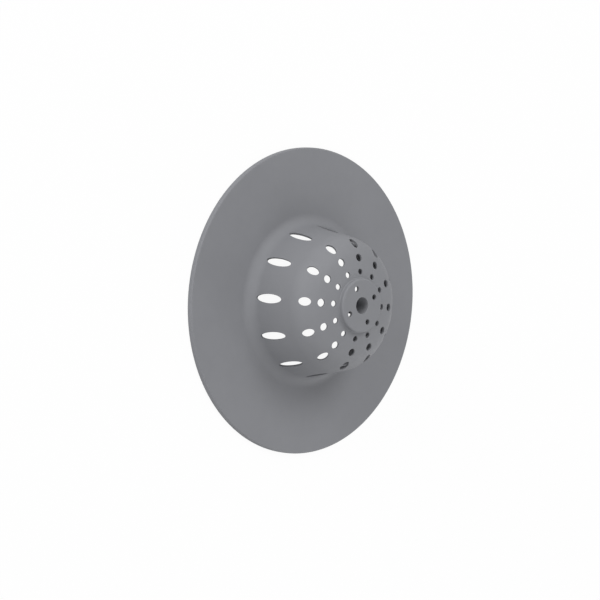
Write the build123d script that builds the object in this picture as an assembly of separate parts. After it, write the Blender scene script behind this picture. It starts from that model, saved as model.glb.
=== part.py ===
from build123d import *
import os
from math import asin, atan2, cos, degrees, radians, sqrt, tan

# Drain strainer moulded in one piece of soft silicone: a thin round flange that lies flat on the
# floor round the drain, and a domed basket in its middle, pierced by four rings of holes.
# Millimetres. The flange's flat back is at Z = 0, centred on the origin, and the dome rises to +Z.

# Flange
flange_diameter = 127.0
flange_thickness = 2.2
rim_round = 0.7  # rounding of the rim on the dome side

# Basket wall, all sizes taken on the outside
foot_diameter = 64.1  # where the side would meet the flange's dome side if it had no fillet
side_draft = 12.0  # degrees that the side leans in from upright
crown_rise = 31.2  # top of the crown above the flange's dome side, without the boss
crown_radius = 66.0  # gentle sphere of the crown
shoulder_radius = 11.8  # rounding between crown and side
root_fillet = 5.1  # sweep from the side into the flange
wall_thickness = 0.9
mouth_round = 5.0  # rounding of the open mouth on the flat back

# Raised round boss on the nose, hollowed behind so that its wall stays thin
boss_diameter = 22.1
boss_rise = 1.1  # boss face above the top of the crown
boss_wall = 1.2
boss_edge_round = 0.8
boss_foot_fillet = 0.5

# Blind socket in the middle of the boss: a short tapered tube closed inside the basket
socket_bore = 6.8  # diameter at the boss face
socket_depth = 8.0
socket_taper = 5.5  # degrees a side
socket_wall = 0.9
socket_floor_fillet = 1.2
socket_end_round = 1.6

# Holes, each cut square to the wall. Lands are measured along the outside of the wall.
meridians = 12  # holes in each ring, all rings on the same meridians
crown_hole_diameter = 2.4
upper_hole_diameter = 3.2
shoulder_hole_width = 3.4
shoulder_hole_length = 5.1
side_slot_width = 3.7
side_slot_head_land = 4.5  # from the end of the shoulder's rounding to the slots
side_slot_foot_land = 3.1  # from the slots to the foot, where the side meets the flange
ring_land_shares = (1.5, 3.0, 2.8, 8.1)  # how the lands from the boss out to the slots share their room
boss_holes = 4
boss_hole_diameter = 2.3
boss_hole_land = 2.4  # from the boss holes to the boss's edge
boss_hole_turn = 30.0  # degrees, puts each boss hole on one of the meridians
cutter_reach = 1.5  # how far a hole's cutter stands clear of each face of the wall

flange_radius = flange_diameter / 2
boss_radius = boss_diameter / 2
boss_face = flange_thickness + crown_rise + boss_rise
side_slope = tan(radians(side_draft))


def side_radius(height, inset=0.0):
    """Radius of the straight side at a height, moved into the wall by inset."""
    foot = foot_diameter / 2 - inset / cos(radians(side_draft))
    return foot - (height - flange_thickness) * side_slope


def shoulder_point(inset=0.0):
    """Corner where the crown's sphere would meet the straight side, before its rounding."""
    radius = crown_radius - inset
    centre = flange_thickness + crown_rise - crown_radius
    start = side_radius(centre, inset)
    lean = 1 + side_slope**2
    rise = (start * side_slope + sqrt(lean * radius**2 - start**2)) / lean
    return start - side_slope * rise, centre + rise


def crown_arc(inset=0.0):
    """Crown from the axis out to the shoulder's corner."""
    radius = crown_radius - inset
    centre = flange_thickness + crown_rise - crown_radius
    corner_radius, corner_height = shoulder_point(inset)
    end = degrees(atan2(corner_height - centre, corner_radius))
    return CenterArc((0, centre), radius, 90, end - 90)


def corner_of(shape, radius, height):
    """Corner of a flat section nearest to a given radius and height."""
    return shape.vertices().sort_by_distance((radius, height, 0))[0]


def outer_section():
    """Half section of flange and basket, filled to the axis."""
    crown = crown_arc()
    shoulder = shoulder_point()
    foot = (side_radius(flange_thickness), flange_thickness)
    rim = (flange_radius, flange_thickness)
    edges = [crown, Line(shoulder, foot), Line(foot, rim), Line(rim, (flange_radius, 0))]
    edges += [Line((flange_radius, 0), (0, 0)), Line((0, 0), crown @ 0)]
    face = make_face(edges)
    face = fillet(corner_of(face, *shoulder), shoulder_radius)
    face = fillet(corner_of(face, *foot), root_fillet)
    return fillet(corner_of(face, *rim), rim_round)


def inner_section():
    """Half section of the hollow inside the basket, one wall thickness in, down to the flat back."""
    crown = crown_arc(wall_thickness)
    shoulder = shoulder_point(wall_thickness)
    mouth = (side_radius(0, wall_thickness), 0)
    edges = [crown, Line(shoulder, mouth), Line(mouth, (0, 0)), Line((0, 0), crown @ 0)]
    face = make_face(edges)
    return fillet(corner_of(face, *shoulder), shoulder_radius - wall_thickness)


def block(outer, bottom, top):
    """Half section of a disc from the axis out to a radius, between two heights."""
    return make_face(Polyline((0, bottom), (outer, bottom), (outer, top), (0, top), close=True))


def taper(top_radius, depth):
    """Half section of a tapered plug that hangs from the boss face."""
    floor_radius = top_radius - depth * tan(radians(socket_taper))
    floor = boss_face - depth
    corners = [(0, floor), (floor_radius, floor), (top_radius, boss_face), (0, boss_face)]
    return make_face(Polyline(*corners, close=True))


def strainer_section():
    """Whole half section: flange, basket wall, boss and socket."""
    recess_radius = boss_radius - boss_wall
    recess_top = boss_face - boss_wall
    bore_radius = socket_bore / 2
    tube_radius = bore_radius + socket_wall
    tube_depth = socket_depth + socket_wall
    tube_slope = tan(radians(socket_taper))

    shell = outer_section() + block(boss_radius, flange_thickness, boss_face)
    shell = shell - inner_section() - block(recess_radius, flange_thickness, recess_top)
    section = shell + taper(tube_radius, tube_depth) - taper(bore_radius, socket_depth)

    crown_at_boss = boss_face - boss_rise - crown_radius + sqrt(crown_radius**2 - boss_radius**2)
    tube_at_end = tube_radius - tube_depth * tube_slope
    bore_at_floor = bore_radius - socket_depth * tube_slope
    rounds = [
        (side_radius(0, wall_thickness), 0, mouth_round),
        (boss_radius, boss_face, boss_edge_round),
        (boss_radius, crown_at_boss, boss_foot_fillet),
        (tube_at_end, boss_face - tube_depth, socket_end_round),
        (bore_at_floor, boss_face - socket_depth, socket_floor_fillet),
    ]
    for radius, height, size in rounds:
        section = fillet(corner_of(section, radius, height), size)
    return section


def outside_path():
    """Line along the outside of the wall in the XZ plane, from the top to the root fillet's start."""
    crown = crown_arc()
    shoulder = shoulder_point()
    side = Line(shoulder, (side_radius(flange_thickness), flange_thickness))
    path = fillet(corner_of(Curve() + [crown, side], *shoulder), shoulder_radius)
    return Plane.XZ * path.wire()


def hole_cutter(path, place, width, length):
    """Oval cutter square to the wall, at a distance along the outside path from the top."""
    point = path.position_at(place, position_mode=PositionMode.LENGTH)
    along = path.tangent_at(place, position_mode=PositionMode.LENGTH)
    outward = Vector(-along.Z, 0, along.X)
    plane = Plane(origin=point + outward * cutter_reach, x_dir=along, z_dir=outward)
    outline = Circle(width / 2) if width == length else Ellipse(length / 2, width / 2)
    return extrude(plane * outline, -(2 * cutter_reach + wall_thickness))


def ring_cutters():
    """Cutters of the four rings, one hole on each meridian."""
    path = outside_path()
    side, shoulder, crown = path.edges().sort_by(Axis.Z)
    side_start = crown.length + shoulder.length
    slot_head = side_start + side_slot_head_land
    slot_length = side.length - side_slot_head_land - side_slot_foot_land
    rings = [(slot_head + slot_length / 2, side_slot_width, slot_length)]

    round_holes = [crown_hole_diameter, upper_hole_diameter]
    sizes = [(size, size) for size in round_holes] + [(shoulder_hole_width, shoulder_hole_length)]
    place = crown_radius * asin(boss_radius / crown_radius)
    land_room = slot_head - place - sum(length for width, length in sizes)
    for share, (width, length) in zip(ring_land_shares, sizes):
        place += land_room * share / sum(ring_land_shares) + length / 2
        rings.append((place, width, length))
        place += length / 2
    cutters = []
    for place, width, length in rings:
        cutter = hole_cutter(path, place, width, length)
        cutters += [Rot(0, 0, 360 / meridians * turn) * cutter for turn in range(meridians)]
    return cutters


def boss_cutters():
    """Straight cutters of the small holes through the boss, round the socket."""
    hole = extrude(Circle(boss_hole_diameter / 2), -(boss_wall + 2 * cutter_reach))
    circle_radius = boss_radius - boss_hole_land - boss_hole_diameter / 2
    cutter = Pos(circle_radius, 0, boss_face + cutter_reach) * hole
    return [Rot(0, 0, boss_hole_turn + 360 / boss_holes * turn) * cutter for turn in range(boss_holes)]


def strainer():
    """The strainer as one solid: the turned form less its holes."""
    body = revolve(Plane.XZ * strainer_section(), Axis.Z)
    return body - (ring_cutters() + boss_cutters())


os.makedirs("parts", exist_ok=True)
export_step(strainer().solid(), "parts/strainer.step")
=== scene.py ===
import math

import bmesh
import bpy
import numpy as np
from bpy.props import FloatProperty, FloatVectorProperty, IntProperty, PointerProperty
from bpy.types import Operator, Panel, PropertyGroup
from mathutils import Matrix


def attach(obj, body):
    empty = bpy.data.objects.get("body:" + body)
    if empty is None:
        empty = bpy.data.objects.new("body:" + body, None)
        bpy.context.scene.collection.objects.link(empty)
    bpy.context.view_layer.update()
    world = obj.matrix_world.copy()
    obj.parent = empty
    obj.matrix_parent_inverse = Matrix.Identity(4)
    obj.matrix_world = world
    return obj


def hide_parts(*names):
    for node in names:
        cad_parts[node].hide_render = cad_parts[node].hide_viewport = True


bl_info = {
    "name": "Drain strainer",
    "version": (1, 0, 0),
    "blender": (4, 5, 0),
    "location": "3D View > Sidebar > Strainer",
    "description": "Moulds a silicone drain strainer as one skin and sets it on a pale floor",
    "category": "Add Mesh",
}

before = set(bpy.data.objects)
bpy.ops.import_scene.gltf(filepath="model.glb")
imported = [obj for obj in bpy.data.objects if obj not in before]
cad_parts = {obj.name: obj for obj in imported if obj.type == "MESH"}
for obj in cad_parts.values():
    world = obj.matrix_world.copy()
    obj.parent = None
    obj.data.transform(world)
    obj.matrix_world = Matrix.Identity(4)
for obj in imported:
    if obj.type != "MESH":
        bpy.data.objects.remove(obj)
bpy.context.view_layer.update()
mm = 0.001

# Mesh of the skin
row_step = 2.5 * mm  # longest step of the plain bands along the section
row_bend = math.radians(9)  # sharpest turn from row to row
row_support = 0.12 * mm  # how far from a bend its supporting row lies
across_cells = 12  # columns in the sector of each meridian
along_cells = 8  # rows in the cell of a round or short hole
long_hole = 8 * mm  # from this length on, a hole's cell has twice the rows
ring_margins = (0.35, 0.9, 1.0, 0.75)  # millimetres from a ring's holes to their cells' ends
boss_margin = 0.45  # the same for the holes through the boss
cell_shares = (0.0, 0.3, 0.55, 0.75, 0.88, 0.96, 1.0)  # rows of a cell from its border to its hole
soft_rows = 5  # rows over a hole's soft edge
newton_rounds = 30
newton_reach = 2 * mm  # longest step in one round
path_samples = 20001  # on the whole section, where a hole of the boss is looked for
level_error = 0.0001 * mm  # how far such a sample may lie from its height
joining_distance = 0.0005 * mm

# Finish
fine_waves = 2.7  # waves of the fine grain to one of the grain
plain_white = (1.0, 1.0, 1.0, 1.0)


def length(name, description, default):
    """A size in millimetres as a length property."""
    size = default * mm
    return FloatProperty(
        name=name, description=description, default=size, unit="LENGTH", precision=5
    )


def angle(name, description, default):
    """An angle in degrees as an angle property."""
    turn = math.radians(default)
    return FloatProperty(name=name, description=description, default=turn, subtype="ANGLE")


def factor(name, description, default):
    """A number from 0 to 1 as a factor property."""
    return FloatProperty(name=name, description=description, default=default, subtype="FACTOR")


def position(name, description, default):
    """A point in metres as a translation property."""
    return FloatVectorProperty(
        name=name, description=description, default=default, size=3, subtype="TRANSLATION"
    )


def power(name, default):
    """A lamp's power in watts."""
    return FloatProperty(name=name, description="Power of the lamp", default=default, unit="POWER")


def weights(name, description, default):
    """A few weights as one property."""
    return FloatVectorProperty(
        name=name, description=description, size=len(default), default=default
    )


class StrainerMoulding(PropertyGroup):
    """Sizes of the flange, the basket wall, the boss and the socket."""

    flange_diameter: length("Flange diameter", "Across the round flange", 127.0)
    flange_thickness: length("Flange thickness", "From the flat back to the dome side", 2.2)
    rim_round: length("Rim round", "Rounding of the rim on the dome side", 0.7)
    back_edge_round: length("Back edge round", "Rounding of the rim on the flat back", 0.25)
    foot_diameter: length("Foot diameter", "Where side and flange meet, less the fillet", 64.1)
    side_draft: angle("Side draft", "How far the side leans in from upright", 12.0)
    crown_rise: length("Crown rise", "Top of the crown above the flange, without the boss", 31.2)
    crown_radius: length("Crown radius", "Gentle sphere of the crown", 66.0)
    shoulder_radius: length("Shoulder radius", "Rounding between crown and side", 11.8)
    root_fillet: length("Root fillet", "Sweep from the side into the flange", 5.1)
    wall_thickness: length("Wall thickness", "Thickness of the basket wall", 0.9)
    mouth_round: length("Mouth round", "Rounding of the open mouth on the flat back", 5.0)
    boss_diameter: length("Boss diameter", "Across the raised round boss", 22.1)
    boss_rise: length("Boss rise", "Boss face above the top of the crown", 1.1)
    boss_wall: length("Boss wall", "Thickness of the boss", 1.2)
    boss_edge_round: length("Boss edge round", "Rounding of the boss's edge", 0.8)
    boss_foot_fillet: length("Boss foot fillet", "Fillet where the boss leaves the crown", 0.5)
    recess_fillet: length("Recess fillet", "Fillets of the recess behind the boss", 0.35)
    socket_bore: length("Socket bore", "Width of the socket at the boss face", 6.8)
    socket_depth: length("Socket depth", "Depth of the blind socket", 8.0)
    socket_taper: angle("Socket taper", "Taper of the socket on each side", 5.5)
    socket_wall: length("Socket wall", "Thickness of the socket's tube", 0.9)
    socket_lip_round: length("Socket lip round", "Rounding of the socket's mouth", 0.22)
    socket_floor_fillet: length("Socket floor fillet", "Fillet round the socket's floor", 1.2)
    socket_end_round: length("Socket end round", "Rounding of the tube's closed end", 1.6)


class StrainerHoles(PropertyGroup):
    """Sizes and spacing of the holes."""

    meridians: IntProperty(name="Meridians", description="Holes in each ring", default=12, min=4)
    crown_hole: length("Crown hole", "Diameter of the holes next to the boss", 2.4)
    upper_hole: length("Upper hole", "Diameter of the holes of the next ring", 3.2)
    shoulder_hole_width: length("Shoulder hole width", "Width of the shoulder's ovals", 3.4)
    shoulder_hole_length: length("Shoulder hole length", "Length of the shoulder's ovals", 5.1)
    side_slot_width: length("Side slot width", "Width of the long ovals in the side", 3.7)
    side_slot_head_land: length("Slot head land", "From the shoulder's end to the slots", 4.5)
    side_slot_foot_land: length("Slot foot land", "From the slots to the foot of the side", 3.1)
    ring_land_shares: weights(
        "Land shares", "How the lands from boss to slots share their room", (1.5, 3.0, 2.8, 8.1)
    )
    boss_holes: IntProperty(
        name="Boss holes", description="Holes through the boss", default=4, min=1
    )
    boss_hole: length("Boss hole", "Diameter of the holes through the boss", 2.3)
    boss_hole_land: length("Boss hole land", "From the boss holes to the boss's edge", 2.4)
    edge_round: length("Hole edge round", "Soft edge that the mould leaves on each hole", 0.06)


class SiliconeFinish(PropertyGroup):
    """Colour and surface of the silicone."""

    colour: FloatVectorProperty(
        name="Colour",
        description="Grey of the silicone",
        subtype="COLOR",
        size=3,
        default=(0.216, 0.22, 0.235),
    )
    cloudiness: factor("Cloudiness", "Share by which the grey drifts over the piece", 0.05)
    roughness: factor("Roughness", "Middle roughness of the satin skin", 0.62)
    refraction: FloatProperty(name="Refraction", description="Refractive index", default=1.41)
    clouds: FloatProperty(name="Clouds", description="Clouds to the metre", default=28.0)
    mottle: FloatProperty(name="Mottle", description="Spots to the metre", default=260.0)
    grain: length("Grain", "Size of the grain that the mould leaves", 0.35)
    grain_depth: length("Grain depth", "Depth of the grain", 0.008)
    drift_weights: weights(
        "Drift weights", "How far clouds, mottle and grain shift the grey", (1.4, 0.7, 0.5)
    )
    polish_weights: weights(
        "Polish weights", "How far mottle and grain shift the roughness", (0.16, 0.12)
    )
    relief_weights: weights(
        "Relief weights", "Shares of grain and fine grain in the relief", (0.7, 0.3)
    )


class StudioStage(PropertyGroup):
    """Camera, lamps, sky and floor."""

    camera_place: position("Camera place", "Where it stands", (-0.006889, -0.672486, 0.702917))
    camera_turn: FloatVectorProperty(
        name="Camera turn",
        description="How the camera is turned, rolled as the photograph is",
        subtype="EULER",
        size=3,
        default=(math.radians(-4.56778), math.radians(-43.45446), math.radians(96.05317)),
    )
    lens: FloatProperty(
        name="Lens",
        description="Focal length for the sensor's width, in millimetres",
        subtype="DISTANCE_CAMERA",
        default=140.638,
    )
    sensor: FloatProperty(
        name="Sensor", description="Width of the sensor", subtype="DISTANCE_CAMERA", default=36.0
    )
    nearest: FloatProperty(
        name="Nearest", description="Where the camera starts to see", unit="LENGTH", default=0.05
    )
    side_lamp: position("Side lamp", "Low lamp on the dome's lit flank", (-0.73, -1.27, 0.31))
    side_power: power("Side power", 8.6)
    top_lamp: position("Top lamp", "High lamp towards -X", (-0.96, 0.0, 1.15))
    top_power: power("Top power", 7.0)
    fill_lamp: position("Fill lamp", "High lamp that lifts the shadow", (0.96, 0.0, 1.15))
    fill_power: power("Fill power", 2.7)
    nose_lamp: position("Nose lamp", "Low lamp on the dome's far flank", (0.73, 1.27, 0.31))
    nose_power: power("Nose power", 3.5)
    lamp_width: FloatProperty(
        name="Lamp width", description="Across each round lamp", unit="LENGTH", default=0.7
    )
    sky: FloatProperty(name="Sky", description="Strength of the white world", default=0.57)
    floor_size: FloatProperty(
        name="Floor size", description="Side of the square floor", unit="LENGTH", default=6.0
    )
    floor_grey: factor("Floor grey", "How much light the floor gives back", 0.9)
    floor_lift: factor("Floor lift", "Share of plain white that the camera sees there", 0.94)


def rounded_runs(corners):
    """Runs of a chain of straight lines with rounded corners, as (length, curvature).

    A corner that turns by angle a and has radius r takes r * tan(|a| / 2) from the line on each
    side of it and puts an arc of length r * |a| between them. Curvature is positive where the path
    turns left.
    """
    points = np.array([corner[:2] for corner in corners])
    radii = np.array([corner[2] for corner in corners])
    steps = np.diff(points, axis=0)
    lengths = np.hypot(steps[:, 0], steps[:, 1])
    headings = np.arctan2(steps[:, 1], steps[:, 0])
    turns = (np.diff(headings) + math.pi) % (2 * math.pi) - math.pi
    trims = np.concatenate([[0.0], radii[1:-1] * np.tan(np.abs(turns) / 2), [0.0]])
    lines = lengths - trims[:-1] - trims[1:]
    runs = [(lines[0], 0.0)]
    for line, turn, radius in zip(lines[1:], turns, radii[1:-1]):
        runs += [(radius * abs(turn), math.copysign(1 / radius, turn)), (line, 0.0)]
    return runs


class Section:
    """The half section as one path from the axis to the axis, with the silicone on its right.

    It starts on the socket's floor, goes out over the boss, the dome and the flange, round the
    rim, and back along the flat back and the inside. A station is the distance gone along it.
    """

    def __init__(self, sizes):
        s = sizes
        draft = s.side_draft
        slope = math.tan(draft)
        boss_radius = s.boss_diameter / 2
        self.boss_radius = boss_radius
        self.boss_face = s.flange_thickness + s.crown_rise + s.boss_rise
        crown_centre = s.flange_thickness + s.crown_rise - s.crown_radius
        taper = math.tan(s.socket_taper)
        bore = s.socket_bore / 2
        tube = bore + s.socket_wall
        socket_floor = self.boss_face - s.socket_depth
        tube_end = socket_floor - s.socket_wall

        def side_radius(height, inset):
            foot = s.foot_diameter / 2 - inset / math.cos(draft)
            return foot - (height - s.flange_thickness) * slope

        def meeting(inset):
            """Where the crown's sphere and the side meet, both moved in by inset: a quadratic's
            root."""
            radius = s.crown_radius - inset
            start = side_radius(crown_centre, inset)
            lean = 1 + slope**2
            rise = (start * slope + math.sqrt(lean * radius**2 - start**2)) / lean
            return start - slope * rise, crown_centre + rise

        shoulder = meeting(s.shoulder_radius)
        crown_end = math.atan2(shoulder[0], shoulder[1] - crown_centre)
        shoulder_turn = math.pi / 2 - draft - crown_end

        def side_top(radius):
            """Upper end of the straight side, where the shoulder of a radius starts."""
            return shoulder[0] + radius * math.cos(draft), shoulder[1] + radius * math.sin(draft)

        outer_side_top = side_top(s.shoulder_radius)
        inner_shoulder = s.shoulder_radius - s.wall_thickness
        inner_crown = s.crown_radius - s.wall_thickness

        fillet_radius = boss_radius + s.boss_foot_fillet
        foot_lean = math.asin(fillet_radius / (s.crown_radius + s.boss_foot_fillet))
        foot_top = crown_centre + (s.crown_radius + s.boss_foot_fillet) * math.cos(foot_lean)
        recess_radius = boss_radius - s.boss_wall
        recess_top = self.boss_face - s.boss_wall
        lip = s.recess_fillet
        lip_lean = math.asin((recess_radius + lip) / (inner_crown + lip))
        lip_top = crown_centre + (inner_crown + lip) * math.cos(lip_lean)

        runs = rounded_runs(
            [
                (0.0, socket_floor, 0.0),
                (bore - s.socket_depth * taper, socket_floor, s.socket_floor_fillet),
                (bore, self.boss_face, s.socket_lip_round),
                (boss_radius, self.boss_face, s.boss_edge_round),
                (boss_radius, foot_top, 0.0),
            ]
        )
        runs.append((s.boss_foot_fillet * (math.pi / 2 - foot_lean), 1 / s.boss_foot_fillet))
        self.crown_start = sum(run[0] for run in runs)
        self.crown_start_place = s.crown_radius * foot_lean
        self.crown_length = s.crown_radius * crown_end
        runs.append((s.crown_radius * (crown_end - foot_lean), -1 / s.crown_radius))
        self.shoulder_length = s.shoulder_radius * shoulder_turn
        runs.append((self.shoulder_length, -1 / s.shoulder_radius))
        foot = side_radius(s.flange_thickness, 0.0)
        drop = outer_side_top[1] - s.flange_thickness
        self.side_length = math.hypot(foot - outer_side_top[0], drop)
        flange_radius = s.flange_diameter / 2
        runs += rounded_runs(
            [
                (*outer_side_top, 0.0),
                (foot, s.flange_thickness, s.root_fillet),
                (flange_radius, s.flange_thickness, s.rim_round),
                (flange_radius, 0.0, s.back_edge_round),
                (side_radius(0.0, s.wall_thickness), 0.0, s.mouth_round),
                (*side_top(inner_shoulder), 0.0),
            ]
        )
        self.inner_top = sum(run[0] for run in runs)
        runs.append((inner_shoulder * shoulder_turn, 1 / inner_shoulder))
        runs.append((inner_crown * (crown_end - lip_lean), 1 / inner_crown))
        runs.append((lip * (math.pi / 2 - lip_lean), -1 / lip))
        runs += rounded_runs(
            [
                (recess_radius, lip_top, 0.0),
                (recess_radius, recess_top, s.recess_fillet),
                (tube - s.boss_wall * taper, recess_top, s.recess_fillet),
                (tube - (s.socket_depth + s.socket_wall) * taper, tube_end, s.socket_end_round),
                (0.0, tube_end, 0.0),
            ]
        )
        self.runs = np.array(runs)
        self.ends = np.cumsum(self.runs[:, 0])
        self.starts = self.ends - self.runs[:, 0]
        turns = self.runs[:, 0] * self.runs[:, 1]
        self.headings = np.cumsum(turns) - turns
        steps = self.chord(self.runs[:, 0], self.headings, self.runs[:, 1])
        self.points = np.array([0.0, socket_floor]) + np.cumsum(steps, axis=0) - steps

    @staticmethod
    def chord(gone, heading, curvature):
        """Step from a run's start: gone * sinc(k * gone / 2) towards heading + k * gone / 2, with
        k for the curvature."""
        half = curvature * gone / 2
        chord = gone * np.sinc(half / math.pi)
        return np.stack([chord * np.cos(heading + half), chord * np.sin(heading + half)], axis=-1)

    def at(self, stations):
        """Radius, height and heading of the path at an array of stations."""
        run = np.clip(np.searchsorted(self.ends, stations, side="left"), 0, len(self.ends) - 1)
        gone = stations - self.starts[run]
        heading, curvature = self.headings[run], self.runs[run, 1]
        place = self.points[run] + self.chord(gone, heading, curvature)
        return place[..., 0], place[..., 1], heading + curvature * gone

    def rows(self, first, last, step, bend, support):
        """Stations from first to last: steps no longer than step and turns no sharper than bend.
        One more row lies support off each end of a bend, so that flats stay flat when shaded
        smooth, and a row closer than a quarter of that to the one before is left out."""
        marks = [first, last]
        for start, end, (size, curvature) in zip(self.starts, self.ends, self.runs):
            cells = max(math.ceil(size / step), math.ceil(size * abs(curvature) / bend))
            marks += list(np.linspace(start, end, cells + 1))
            if curvature == 0 and size > 3 * support:
                marks += [start + support, end - support]
        marks = np.array(sorted(mark for mark in marks if first <= mark <= last))
        return marks[np.concatenate([[True], np.diff(marks) > support / 4])]


class Opening:
    """One hole's shape and place: an oval cut square to the outer skin."""

    def __init__(self, section, outside, inside, width, size, margin):
        self.section = section
        self.outside = outside
        self.inside = inside
        self.width = width
        self.size = size
        self.reach = size / 2 + margin
        radius, height, heading = section.at(np.array(outside))
        self.centre = np.array([radius, 0.0, height])
        self.along = np.array([np.cos(heading), 0.0, np.sin(heading)])
        self.axis = np.array([-np.sin(heading), 0.0, np.cos(heading)])

    def on_skin(self, across, along, guess):
        """Station and turn where the line through (across, along), parallel to the hole's axis,
        meets the skin: the turn is asin(across / radius), and the station comes from Newton's rule
        on the distance along, whose rate is the path's heading seen along the hole."""
        station = np.full(across.shape, float(guess))
        out, up = self.along[0], self.along[2]
        for _ in range(newton_rounds):
            radius, height, heading = self.section.at(station)
            turn = np.arcsin(np.clip(across / radius, -1, 1))
            gone = (radius * np.cos(turn) - self.centre[0]) * out + (height - self.centre[2]) * up
            rate = np.cos(heading) * np.cos(turn) * out + np.sin(heading) * up
            station = station + np.clip((along - gone) / rate, -newton_reach, newton_reach)
        radius = self.section.at(station)[0]
        return station, np.arcsin(np.clip(across / radius, -1, 1))

    def cell_ends(self, guess):
        """Stations of the two ends of the hole's cell on one skin."""
        return self.on_skin(np.zeros(2), np.array([-self.reach, self.reach]), guess)[0]


def turned(section, stations, turns):
    """Points of the turned skin: (r cos t, r sin t, z), for stations and turns of one shape."""
    radius, height, _ = section.at(stations)
    return np.stack([radius * np.cos(turns), radius * np.sin(turns), height], axis=-1)


class Skin:
    """Collects grids of points and their faces into one mesh."""

    def __init__(self):
        self.points = []
        self.faces = []
        self.count = 0

    def grid(self, points, closed=False):
        """Adds a grid of rows by columns as quads; closed joins the last column to the first."""
        rows, columns = points.shape[:2]
        index = np.arange(rows * columns).reshape(rows, columns) + self.count
        if closed:
            index = np.concatenate([index, index[:, :1]], axis=1)
        quads = np.stack([index[:-1, :-1], index[1:, :-1], index[1:, 1:], index[:-1, 1:]], axis=-1)
        self.points.append(points.reshape(-1, 3))
        self.faces.append(quads.reshape(-1, 4))
        self.count += rows * columns

    def mesh(self, name):
        """One mesh of all grids, with shared edges joined and the axis closed."""
        mesh = bpy.data.meshes.new(name)
        mesh.from_pydata(np.concatenate(self.points), [], np.concatenate(self.faces))
        joined = bmesh.new()
        joined.from_mesh(mesh)
        bmesh.ops.remove_doubles(joined, verts=joined.verts, dist=joining_distance)
        joined.to_mesh(mesh)
        joined.free()
        mesh.shade_smooth()
        return mesh


def cell_frame(columns, rows):
    """Loop of points round the square from -1 to 1, anticlockwise seen from outside with the turn
    to the right and the station down, and closed by its start."""
    top = np.linspace(-1, 1, columns + 1)
    side = np.linspace(-1, 1, rows + 1)
    left, right = np.full(rows, -1.0), np.full(rows, 1.0)
    upper, lower = np.full(columns, -1.0), np.full(columns, 1.0)
    x = np.concatenate([left, top[:-1], right, top[:0:-1], left[:1]])
    y = np.concatenate([side[:-1], lower, side[:0:-1], upper, upper[:1]])
    return x, y


def oval(opening, x, y, grow):
    """Point of the hole's outline facing a point of its square: width and length by cosine and
    sine of the angle at which the square's point lies."""
    facing = np.arctan2(y, x)
    return (opening.width / 2 + grow) * np.cos(facing), (opening.size / 2 + grow) * np.sin(facing)


def pierced_cell(opening, sector, along, edge_round):
    """One cell with its hole, from the cell's border on the inner skin through the hole to the
    border on the outer skin. On each skin the rows run from the square to the oval by equal shares
    in station and turn. The soft edge is a curve (1-t)^2 Q + 2t(1-t) E + t^2 W from the skin Q
    over the sharp corner E to the hole's wall W."""
    x, y = cell_frame(across_cells, along)
    shares = np.array(cell_shares)[:, None]
    bend = np.linspace(0, 1, soft_rows)[:, None, None]
    rows = []
    for guess, sign in ((opening.inside, 1), (opening.outside, -1)):
        ends = opening.cell_ends(guess)
        border_station = ends[0] + (ends[1] - ends[0]) * (y + 1) / 2
        border_turn = x * sector / 2
        soft_station, soft_turn = opening.on_skin(*oval(opening, x, y, edge_round), guess)
        sharp = turned(opening.section, *opening.on_skin(*oval(opening, x, y, 0.0), guess))
        skin = turned(
            opening.section,
            border_station + (soft_station - border_station) * shares,
            border_turn + (soft_turn - border_turn) * shares,
        )
        wall = sharp + opening.axis * sign * edge_round
        soft = (1 - bend) ** 2 * skin[-1] + 2 * bend * (1 - bend) * sharp + bend**2 * wall
        rows.append(np.concatenate([skin[:-1], soft]))
    return np.concatenate([rows[0], rows[1][::-1]])


def spun(points, turn):
    """Points turned about the axis by an angle."""
    cos, sin = math.cos(turn), math.sin(turn)
    return points @ np.array([[cos, sin, 0.0], [-sin, cos, 0.0], [0.0, 0.0, 1.0]])


def hole_rings(section, sizes, holes):
    """Openings of the four rings on one meridian, from the boss outwards. The lands between them
    share the room from the boss to the slots."""
    side_start = section.crown_length + section.shoulder_length
    slot_head = side_start + holes.side_slot_head_land
    slot_length = section.side_length - holes.side_slot_head_land - holes.side_slot_foot_land
    ovals = [
        (holes.crown_hole, holes.crown_hole),
        (holes.upper_hole, holes.upper_hole),
        (holes.shoulder_hole_width, holes.shoulder_hole_length),
    ]
    place = sizes.crown_radius * math.asin(section.boss_radius / sizes.crown_radius)
    room = slot_head - place - sum(size for _, size in ovals)
    shares = holes.ring_land_shares
    placed = []
    for share, (width, size) in zip(shares, ovals):
        place += room * share / sum(shares) + size / 2
        placed.append((place, width, size))
        place += size / 2
    placed.append((slot_head + slot_length / 2, holes.side_slot_width, slot_length))
    rings = []
    for (place, width, size), margin in zip(placed, ring_margins):
        outside = section.crown_start + place - section.crown_start_place
        inside = inner_station(section, sizes, place)
        rings.append(Opening(section, outside, inside, width, size, margin * mm))
    return rings


def inner_station(section, sizes, place):
    """Station on the inner skin that lies square behind a place on the outer one."""
    wall = sizes.wall_thickness
    on_side = place - section.crown_length - section.shoulder_length
    if on_side > 0:
        return section.inner_top - on_side
    on_shoulder = place - section.crown_length
    if on_shoulder > 0:
        return section.inner_top - on_side * (1 - wall / sizes.shoulder_radius)
    shoulder = section.shoulder_length * (1 - wall / sizes.shoulder_radius)
    return section.inner_top + shoulder - on_shoulder * (1 - wall / sizes.crown_radius)


def station_at(section, radius, height):
    """Station of the sample on the path nearest to a radius, among those at one height."""
    stations = np.linspace(0, section.ends[-1], path_samples)
    radii, heights, _ = section.at(stations)
    level = np.abs(heights - height) < level_error
    return float(stations[level][np.argmin(np.abs(radii[level] - radius))])


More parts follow.
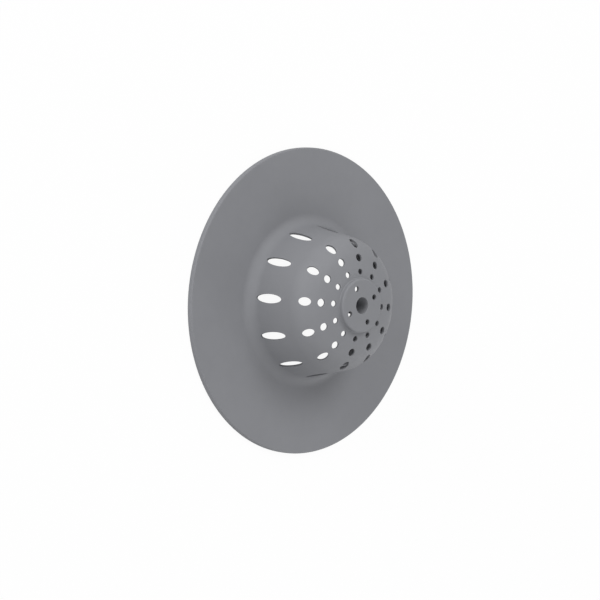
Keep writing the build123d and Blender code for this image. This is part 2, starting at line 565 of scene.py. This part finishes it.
def boss_opening(section, sizes, holes):
    """Opening of one small hole through the boss."""
    radius = section.boss_radius - holes.boss_hole_land - holes.boss_hole / 2
    outside = station_at(section, radius, section.boss_face)
    inside = station_at(section, radius, section.boss_face - sizes.boss_wall)
    return Opening(section, outside, inside, holes.boss_hole, holes.boss_hole, boss_margin * mm)


def strainer_skin(sizes, holes):
    """The whole skin: plain bands of the turned section, and rings of cells round the holes."""
    section = Section(sizes)
    sector = 2 * math.pi / holes.meridians
    columns = np.arange(holes.meridians * across_cells) * sector / across_cells - sector / 2
    skin = Skin()
    boss = boss_opening(section, sizes, holes)
    rings = hole_rings(section, sizes, holes)
    boss_every = holes.meridians // holes.boss_holes
    boss_turns = [1 + boss_every * turn for turn in range(holes.boss_holes)]
    every = list(range(holes.meridians))
    borders = []
    for opening, turns in [(boss, boss_turns)] + [(ring, every) for ring in rings]:
        cells = along_cells if opening.size < long_hole else 2 * along_cells
        cell = pierced_cell(opening, sector, cells, holes.edge_round)
        ends = [opening.cell_ends(opening.outside), opening.cell_ends(opening.inside)]
        for turn in every:
            if turn in turns:
                skin.grid(spun(cell, turn * sector))
                continue
            for first, last in ends:
                stations = np.linspace(first, last, cells + 1)
                turns_here = (turn + np.linspace(-0.5, 0.5, across_cells + 1)) * sector
                patch = turned(section, *np.meshgrid(stations, turns_here, indexing="ij"))
                skin.grid(patch if last > first else patch[::-1])
        borders += [sorted(pair) for pair in ends]
    borders.sort()
    edges = [0.0] + [end for pair in borders for end in pair] + [section.ends[-1]]
    for first, last in zip(edges[0::2], edges[1::2]):
        stations = section.rows(first, last, row_step, row_bend, row_support)
        skin.grid(turned(section, *np.meshgrid(stations, columns, indexing="ij")), closed=True)
    return skin.mesh("strainer_skin")


class Wire:
    """One output in a material's nodes. Sums and products of wires and numbers add Math nodes."""

    def __init__(self, finish, socket):
        self.finish = finish
        self.socket = socket

    def maths(self, operation, left, right):
        return self.finish.node("ShaderNodeMath", {"operation": operation}, {0: left, 1: right})

    def __add__(self, other):
        return self.maths("ADD", self, other)

    def __radd__(self, other):
        return self.maths("ADD", other, self)

    def __sub__(self, other):
        return self.maths("SUBTRACT", self, other)

    def __mul__(self, other):
        return self.maths("MULTIPLY", self, other)


class Finish:
    """A material whose nodes are made one by one, each by the same method."""

    def __init__(self, name):
        self.material = bpy.data.materials.new(name)
        self.material.use_nodes = True
        self.tree = self.material.node_tree
        self.tree.nodes.clear()

    def node(self, kind, settings=None, sockets=None, out=0):
        """Adds a node, makes its settings, then fills its sockets with values or wires. Gives one
        output."""
        node = self.tree.nodes.new(kind)
        for key, value in (settings or {}).items():
            setattr(node, key, value)
        for key, value in (sockets or {}).items():
            if isinstance(value, Wire):
                self.tree.links.new(value.socket, node.inputs[key])
            else:
                node.inputs[key].default_value = value
        return Wire(self, node.outputs[out]) if node.outputs else node


def silicone(look):
    """Satin grey silicone: a grey that drifts a little, a fine mould grain and uneven polish."""
    finish = Finish("silicone")
    place = finish.node("ShaderNodeTexCoord", out="Object")

    def noise(waves, detail, roughness=0.5):
        """Noise with so many waves to the metre."""
        sockets = {"Vector": place, "Scale": waves, "Detail": detail, "Roughness": roughness}
        return finish.node("ShaderNodeTexNoise", None, sockets)

    # Clouds some 36 mm wide, a mottle of 4 mm, and the grain with a finer one over it
    clouds = noise(look.clouds, detail=3.0)
    mottle = noise(look.mottle, detail=4.0)
    grain = noise(1 / look.grain, detail=2.0, roughness=0.6)
    fine = noise(fine_waves / look.grain, detail=1.0)
    # A noise lies round 0.5, so each gives as much to both sides by its weight
    by_clouds, by_mottle, by_grain = look.drift_weights
    drift = (clouds - 0.5) * by_clouds + (mottle - 0.5) * by_mottle + (grain - 0.5) * by_grain
    darker = [channel * (1 - look.cloudiness) for channel in look.colour] + [1.0]
    lighter = [channel * (1 + look.cloudiness) for channel in look.colour] + [1.0]
    colour = finish.node(
        "ShaderNodeMix",
        {"data_type": "RGBA"},
        {"Factor": drift + 0.5, "A": darker, "B": lighter},
        out="Result",
    )
    by_mottle, by_grain = look.polish_weights
    roughness = look.roughness + (mottle - 0.5) * by_mottle + (grain - 0.5) * by_grain
    height = grain * look.relief_weights[0] + fine * look.relief_weights[1]
    relief = {"Strength": 1.0, "Distance": look.grain_depth, "Height": height}
    bump = finish.node("ShaderNodeBump", None, relief)
    shader = finish.node(
        "ShaderNodeBsdfPrincipled",
        None,
        {"Base Color": colour, "Roughness": roughness, "IOR": look.refraction, "Normal": bump},
    )
    finish.node("ShaderNodeOutputMaterial", None, {"Surface": shader})
    return finish.material


def pale_floor(grey, lift):
    """Pale floor that takes the object's shadow, and looks nearly white to the camera."""
    finish = Finish("pale_floor")
    seen = finish.node("ShaderNodeLightPath", out="Is Camera Ray")
    matt = finish.node("ShaderNodeBsdfDiffuse", None, {"Color": (grey, grey, grey, 1.0)})
    white = finish.node("ShaderNodeEmission", None, {"Color": plain_white, "Strength": 1.0})
    mixed = finish.node("ShaderNodeMixShader", None, {0: seen * lift, 1: matt, 2: white})
    finish.node("ShaderNodeOutputMaterial", None, {"Surface": mixed})
    return finish.material


def lay_floor(scene, stage):
    """Lays a square floor at height 0 that stays out of the object."""
    half = stage.floor_size / 2
    corners = [(-half, -half, 0), (half, -half, 0), (half, half, 0), (-half, half, 0)]
    mesh = bpy.data.meshes.new("floor")
    mesh.from_pydata(corners, [], [(0, 1, 2, 3)])
    mesh.materials.append(pale_floor(stage.floor_grey, stage.floor_lift))
    floor = bpy.data.objects.new("floor", mesh)
    scene.collection.objects.link(floor)


def light_stage(scene, stage):
    """Makes the world white and hangs the four round lamps, each turned to the origin."""
    world = bpy.data.worlds.new("studio")
    world.use_nodes = True
    sky = world.node_tree.nodes["Background"]
    sky.inputs["Color"].default_value = plain_white
    sky.inputs["Strength"].default_value = stage.sky
    scene.world = world

    for name in ("side", "top", "fill", "nose"):
        light = bpy.data.lights.new(name, "AREA")
        light.shape = "DISK"
        light.size = stage.lamp_width
        light.energy = getattr(stage, name + "_power")
        lamp = bpy.data.objects.new(name, light)
        lamp.location = getattr(stage, name + "_lamp")
        lamp.rotation_euler = (-lamp.location).to_track_quat("-Z", "Y").to_euler()
        scene.collection.objects.link(lamp)


def place_camera(scene, stage):
    """Places the camera where the photograph was taken from."""
    camera = bpy.data.objects.new("camera", bpy.data.cameras.new("camera"))
    camera.location = stage.camera_place
    camera.rotation_euler = stage.camera_turn
    camera.data.lens = stage.lens
    camera.data.sensor_width = stage.sensor
    camera.data.sensor_fit = "HORIZONTAL"
    camera.data.clip_start = stage.nearest
    scene.collection.objects.link(camera)
    scene.camera = camera


class STRAINER_OT_mould(Operator):
    """Moulds the strainer: flange, domed basket with its holes, boss and socket in one skin"""

    bl_idname = "strainer.mould"
    bl_label = "Mould the strainer"

    def execute(self, context):
        scene = context.scene
        mesh = strainer_skin(scene.strainer_moulding, scene.strainer_holes)
        piece = bpy.data.objects.new("strainer_moulding", mesh)
        scene.collection.objects.link(piece)
        mesh.materials.append(silicone(scene.strainer_silicone))
        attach(piece, "root")
        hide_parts("strainer")
        return {"FINISHED"}


class STRAINER_OT_stage(Operator):
    """Sets the floor, the lamps, the world and the camera"""

    bl_idname = "strainer.stage"
    bl_label = "Set the stage"

    def execute(self, context):
        scene = context.scene
        lay_floor(scene, scene.strainer_stage)
        light_stage(scene, scene.strainer_stage)
        place_camera(scene, scene.strainer_stage)
        scene.view_settings.view_transform = "Standard"
        return {"FINISHED"}


class STRAINER_PT_panel(Panel):
    """Sizes, finish and stage, with a button for each step"""

    bl_idname = "STRAINER_PT_panel"
    bl_label = "Drain strainer"
    bl_space_type = "VIEW_3D"
    bl_region_type = "UI"
    bl_category = "Strainer"

    def draw(self, context):
        scene = context.scene
        for group, title in groups:
            box = self.layout.box()
            box.label(text=title)
            settings = getattr(scene, group)
            for name in type(settings).__annotations__:
                box.prop(settings, name)
        for operator in (STRAINER_OT_mould, STRAINER_OT_stage):
            self.layout.operator(operator.bl_idname)


groups = [
    ("strainer_moulding", "Moulding"),
    ("strainer_holes", "Holes"),
    ("strainer_silicone", "Silicone"),
    ("strainer_stage", "Stage"),
]
property_groups = [StrainerMoulding, StrainerHoles, SiliconeFinish, StudioStage]
classes = property_groups + [STRAINER_OT_mould, STRAINER_OT_stage, STRAINER_PT_panel]


def register():
    for cls in classes:
        bpy.utils.register_class(cls)
    for (name, _), cls in zip(groups, property_groups):
        setattr(bpy.types.Scene, name, PointerProperty(type=cls))


def unregister():
    for name, _ in groups:
        delattr(bpy.types.Scene, name)
    for cls in reversed(classes):
        bpy.utils.unregister_class(cls)


def main():
    """Registers the add-on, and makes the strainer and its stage."""
    register()
    bpy.ops.strainer.mould()
    bpy.ops.strainer.stage()


if __name__ == "__main__":
    main()
